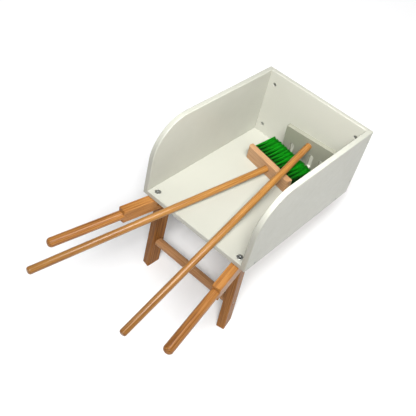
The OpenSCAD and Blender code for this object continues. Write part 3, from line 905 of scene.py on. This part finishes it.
def build_broom():
    back, front, end = -BLOCK_T / 2, BLOCK_T / 2, BLOCK_L / 2
    r = BLOCK_BACK_R
    outline = fillet([(back, -end, r), (front, -end, 1), (front, end, 1), (back, end, r)], 8)
    place = BROOM @ move(BLOCK_T / 2, 0, -BLOCK_H / 2)
    block = make("broom_block_look", slab(outline, BLOCK_H, BLOCK_EDGE_R), place)
    hole = lathe([(TUFT_HOLE_R, 0), (TUFT_HOLE_R, TUFT_HOLE_DEPTH + 3)], 20)
    sunk = Vector((TUFT_HOLE_DEPTH, 0, 0))
    places = [BROOM @ Matrix.Translation((root - sunk) * MM) @ FORWARD for _, root in tufts()]
    carve(block, [merge("tuft_holes", [(hole, at) for at in places])])
    carve(block, [bore(BROOM @ move(-CLEAR, 0, 0) @ FORWARD, STICK_D + BROOM_GAP, CLEAR + 6, 64)])
    # The grain runs along local X, so the mesh is turned one way and the object back again.
    block.data.transform(turn(-90, "Z"))
    block.matrix_world = block.matrix_world @ turn(90, "Z")
    dress(smooth(block), PALE_WOOD, "broom", ["broom_block"])
    pole = make("broom_stick_look", stick(BROOM_L, BROOM_SEAT), BROOM)
    dress(smooth(pole), STICK_WOOD["broom"], "broom", ["broom_stick"])


def build_bristles():
    """Every tuft is a bunch of thin, slightly crooked bristles that spread towards their tips. Shade is
    painted into them: the inner rows, the roots and the sides of each tuft are darker.
    """
    rng = random.Random(11)
    verts, faces, shades = [], [], []
    per_tuft, steps, corners, thick, sunk = 76, 6, 3, 0.46, 5.2
    root_y, root_z, spread_y, spread_z = 1.7, 1.9, 3.6, 2.2
    for level, root in tufts():
        fan = ROW_FAN * level
        outer_row = abs(level) > TUFTS_Z / 2 - 1
        # Painted shade: the inner rows, seen between the outer ones, are much darker than the outer rows.
        tuft_shade = rng.uniform(-0.08, 0.08) + (0.82 if outer_row else 0.3)
        tuft_long = rng.uniform(-0.3, 0.3)
        lean_y, lean_z = rng.uniform(-0.012, 0.012), rng.uniform(-0.004, 0.004)
        for n in range(per_tuft):
            spread = math.sqrt((n + 0.5) / per_tuft)
            angle = n * GOLDEN_ANGLE + rng.uniform(-0.2, 0.2)
            dy, dz = spread * math.cos(angle), spread * math.sin(angle)
            length = BRISTLE_L + tuft_long + rng.uniform(-1.0, 0.5)
            bend_y, bend_z = rng.gauss(0, 0.35), rng.gauss(0, 0.25)
            shade = tuft_shade + rng.uniform(-0.2, 0.2)
            base = len(verts)
            for k in range(steps + 1):
                s = k / steps
                x = -sunk + s * (length + sunk)
                y = dy * (root_y + spread_y * s ** 1.3) + lean_y * max(0, x) + bend_y * s * s
                z = dz * (root_z + spread_z * s) + math.tan(fan + lean_z) * max(0, x) + bend_z * s * s
                r = thick * (1 - 0.2 * s)
                # Painted shade: darker towards the root and on the sides of the tuft, where the tufts shade
                # each other.
                dark = 0.45 * max(0, 1 - x / 30) ** 1.5 + 0.6 * dy * dy * (1 - s)
                for c in range(corners):
                    a = angle + c * 2 * math.pi / corners
                    verts.append((root.x + x, root.y + y + r * math.cos(a), root.z + z + r * math.sin(a)))
                    shades.append(min(1, max(0, shade - dark)))
            for k in range(steps):
                for c in range(corners):
                    a0, a1 = base + k * corners + c, base + k * corners + (c + 1) % corners
                    faces.append((a0, a1, a1 + corners, a0 + corners))
            tip = base + steps * corners
            faces.append((base + 2, base + 1, base))
            faces.append((tip, tip + 1, tip + 2))
    brush = make("broom_bristles_look", (verts, faces), BROOM)
    attribute = brush.data.attributes.new("shade", "FLOAT", "POINT")
    attribute.data.foreach_set("value", shades)
    brush.data.polygons.foreach_set("use_smooth", [True] * len(brush.data.polygons))
    dress(brush, BRISTLE, "broom", ["broom_bristles"])


# ---- rake ----


def rake_outline():
    """Front view of the head, drawn with X across and Y up, round the slots."""
    half, r = RAKE_W / 2, 2
    corners = [(half, RAKE_UP, r), (-half, RAKE_UP, r), (-half, -RAKE_DOWN, r)]
    mouth_r, top_r = 1.6, SLOT_W / 2 - 0.05
    for i in (-1.5, -0.5, 0.5, 1.5):
        left, right = i * SLOT_PITCH - SLOT_W / 2, i * SLOT_PITCH + SLOT_W / 2
        corners += [(left, -RAKE_DOWN, mouth_r), (left, -SLOT_TOP, top_r)]
        corners += [(right, -SLOT_TOP, top_r), (right, -RAKE_DOWN, mouth_r)]
    corners += [(half, -RAKE_DOWN, r)]
    return fillet(corners, 8)


def build_rake():
    place = RAKE @ turn(90, "Z") @ UPRIGHT
    head = make("rake_head_look", slab(rake_outline(), RAKE_T, RAKE_EDGE_R), place)
    behind = RAKE @ move(-CLEAR, 0, 0) @ FORWARD
    carve(head, [
        bore(behind, STICK_D + GAP, CLEAR + 4, 64),
        bore(behind, SCREW_HOLE_D, 30),
        bore(RAKE @ move(RAKE_T - SCREW_SINK, 0, 0) @ FORWARD, JOINT_HEAD_D + RAKE_HEAD_GAP, 5),
    ])
    dress(smooth(head), HEAD_PAINT, "rake", ["rake_head"])
    pole = make("rake_stick_look", stick(RAKE_L, RAKE_SEAT), RAKE)
    carve(pole, [bore(RAKE @ move(-30, 0, 0) @ FORWARD, SCREW_HOLE_D - 0.1, 40)])
    dress(smooth(pole), STICK_WOOD["rake"], "rake", ["rake_stick"])


def finish_cad_nodes():
    """Hardware whose CAD shape is right keeps it and gets its material."""
    finishes = {
        ZINC: [
            "rail_barrel_nuts", "panel_barrel_nuts", "floor_barrel_nuts", "leg_bolts", "leg_barrel_nuts",
            "stretcher_screws", "rake_screw",
        ],
        BRIGHT: ["axle", "axle_washers", "axle_nuts"],
        NYLON: ["axle_spacers", "wheel_bushes"],
        PALE_WOOD: ["leg_dowels"],
    }
    for material, names in finishes.items():
        for name in names:
            set_material(frame["nodes"][name], material)


# ---- studio ----


def build_floor():
    """A plain pale floor that glows a little, so that it is white away from the shadows."""
    corners = [(x * BACKDROP_R, y * BACKDROP_R, 0) for x, y in ((-1, -1), (1, -1), (1, 1), (-1, 1))]
    floor = make("studio_floor", (corners, [(0, 1, 2, 3)]), Matrix())
    set_material(floor, Tree("studio_floor").done(
        Base_Color=(0.85, 0.855, 0.865, 1), Roughness=0.9, Emission_Color=(*WHITE, 1), Emission_Strength=0.085
    ))


def build_backdrop():
    """A pale dome that only the camera sees. It is sunk, so that its flat bottom is under the floor."""
    turns = [math.radians(a) for a in range(0, 90, 10)]
    dome = [(BACKDROP_R * math.cos(a), BACKDROP_R * math.sin(a)) for a in turns] + [(0, BACKDROP_R)]
    backdrop = make("studio_backdrop", lathe(dome), move(0, 0, -BACKDROP_SINK))
    set_material(backdrop, Tree("studio_backdrop").done(
        Base_Color=(0, 0, 0, 1), Emission_Color=(*WHITE, 1), Emission_Strength=0.86
    ))
    for ray in ("diffuse", "glossy", "transmission", "volume_scatter", "shadow"):
        setattr(backdrop, "visible_" + ray, False)


def add_light(name, kind, at, target, power, colour, **settings):
    """A light that the camera doesn't see, in metres, pointed from one place at another."""
    light = bpy.data.objects.new(name, bpy.data.lights.new(name, kind))
    light.data.energy = power
    light.data.color = colour
    for key, value in settings.items():
        setattr(light.data, key, value)
    light.location = at
    light.rotation_euler = (Vector(target) - Vector(at)).to_track_quat("-Z", "Y").to_euler()
    light.visible_camera = False
    bpy.context.scene.collection.objects.link(light)
    return light


def build_lights():
    """Soft sun from three sides, fills for the tray's inside and the dark faces, and a faint sky."""
    middle, sun = (0.05, 0, 0.2), math.radians(16)
    add_light("key", "SUN", (-1.6, -2.1, 4.5), middle, 1.62, SUNLIGHT, angle=sun)
    add_light("front_key", "SUN", (-2.2, -1.2, 4.5), middle, 1.213, SUNLIGHT, angle=sun)
    add_light("top_key", "SUN", (-0.6, -1.0, 4.5), middle, 0.349, SUNLIGHT, angle=sun)
    add_light("tray_fill", "AREA", (0.1, -0.145, 0.78), (0.15, 0.16, 0.25), 4.9, WHITE, size=0.36)
    add_light("front_fill", "AREA", (-2.6, 0.0, 1.3), middle, 3.2, COOL, size=0.9)
    add_light("left_fill", "AREA", (0.2, 1.4, 1.2), middle, 2.4, WHITE, size=0.7)
    # This one lights the end panel behind the rake's slots, from the gap behind its head.
    strip = {"shape": "RECTANGLE", "size": 0.12, "size_y": 0.006}
    behind_rake = add_light("behind_rake", "AREA", middle, (0, 0, 0), 0.07, WHITE, **strip)
    behind_rake.matrix_world = RAKE @ move(RAKE_T + 4.5, 0, -12) @ turn(90, "Z")
    scene = bpy.context.scene
    scene.world = bpy.data.worlds.new("studio")
    scene.world.use_nodes = True
    sky = scene.world.node_tree.nodes["Background"]
    sky.inputs["Color"].default_value = (*WHITE, 1)
    sky.inputs["Strength"].default_value = 0.01
    scene.view_settings.view_transform = "Standard"


def build_camera():
    """Looks down on the tray from behind its right handle."""
    camera = bpy.data.objects.new("camera", bpy.data.cameras.new("camera"))
    camera.data.lens = FOCAL_MM
    camera.data.sensor_width = SENSOR_MM
    camera.data.clip_end = 50
    camera.location = TRAY @ (Vector(CAMERA_AT) * MM)
    look = TIP.to_3x3() @ Vector(CAMERA_LOOK)
    camera.rotation_euler = look.to_track_quat("-Z", "Y").to_euler()
    bpy.context.scene.collection.objects.link(camera)
    bpy.context.scene.camera = camera


build_floor_board()
build_end_panel()
for hand in (1, -1):
    build_side(hand)
for hand in (1, -1):
    build_rail(hand)
    build_leg(hand)
build_stretcher()
build_bolts()
build_wheel()
build_broom()
build_bristles()
build_rake()
finish_cad_nodes()
build_floor()
build_backdrop()
build_lights()
build_camera()
